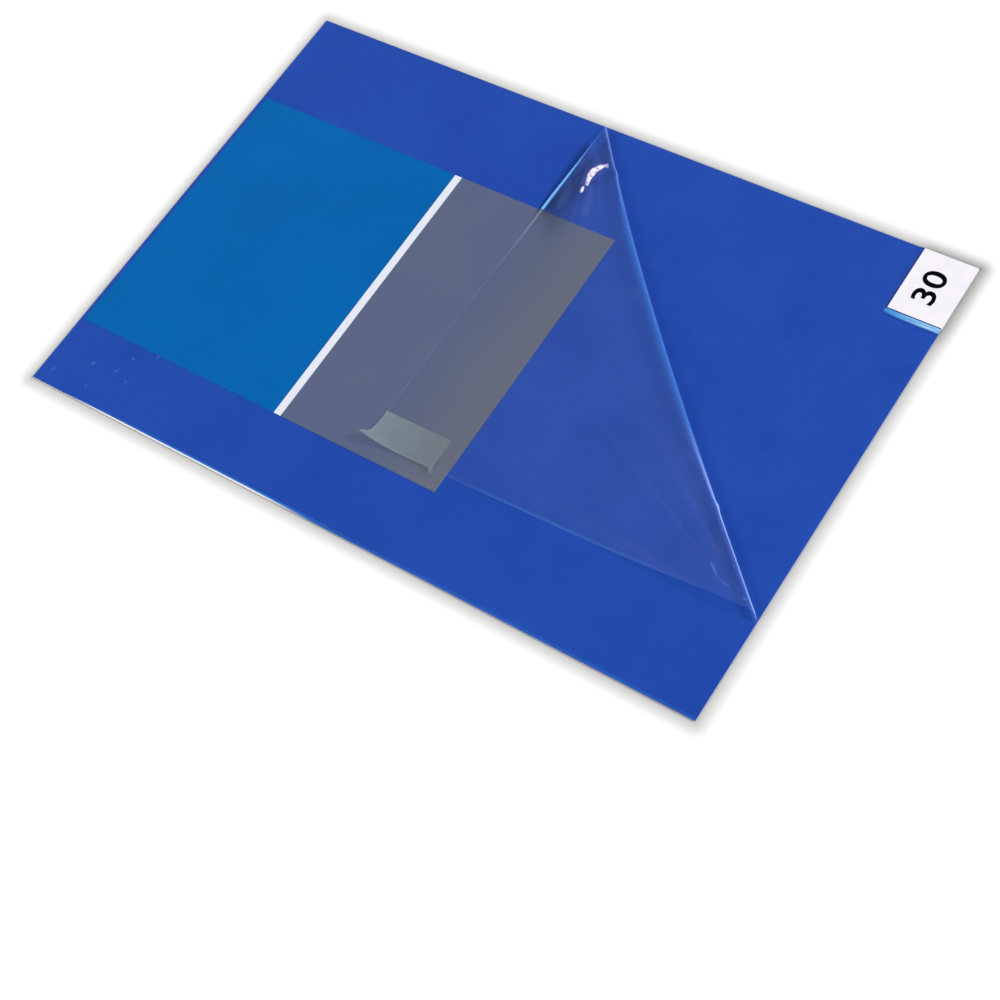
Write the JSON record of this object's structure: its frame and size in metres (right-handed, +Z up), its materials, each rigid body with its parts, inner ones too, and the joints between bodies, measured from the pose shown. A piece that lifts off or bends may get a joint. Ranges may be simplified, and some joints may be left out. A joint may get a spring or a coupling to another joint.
{
  "type": "cleanroom sticky mat",
  "caption": "Pad of blue adhesive film sheets with corner number tabs, on a liner, with its clear cover film peeled back from one corner.",
  "frame": {"origin": "centre of the pad's rectangular outline, on the floor under the release liner", "axes": "+X along the long edge, +Y along the short edge towards the back, +Z up, out of the tacky face; the number tabs and the peeled corner are at +X +Y"},
  "size_m": [0.9144, 0.6096, 0.0117],
  "materials": {
    "liner": "satin",
    "blue_film": "satin",
    "tab_film": "matte",
    "clear_film": "gloss",
    "pull_tab": "satin",
    "label_print": "satin"
  },
  "bodies": {
    "root": {"release_liner": "liner", "adhesive_sheets": "blue_film", "number_tabs": "tab_film", "cover_film": "clear_film", "cover_tab": "pull_tab", "label": "label_print"}
  },
  "joints": []
}
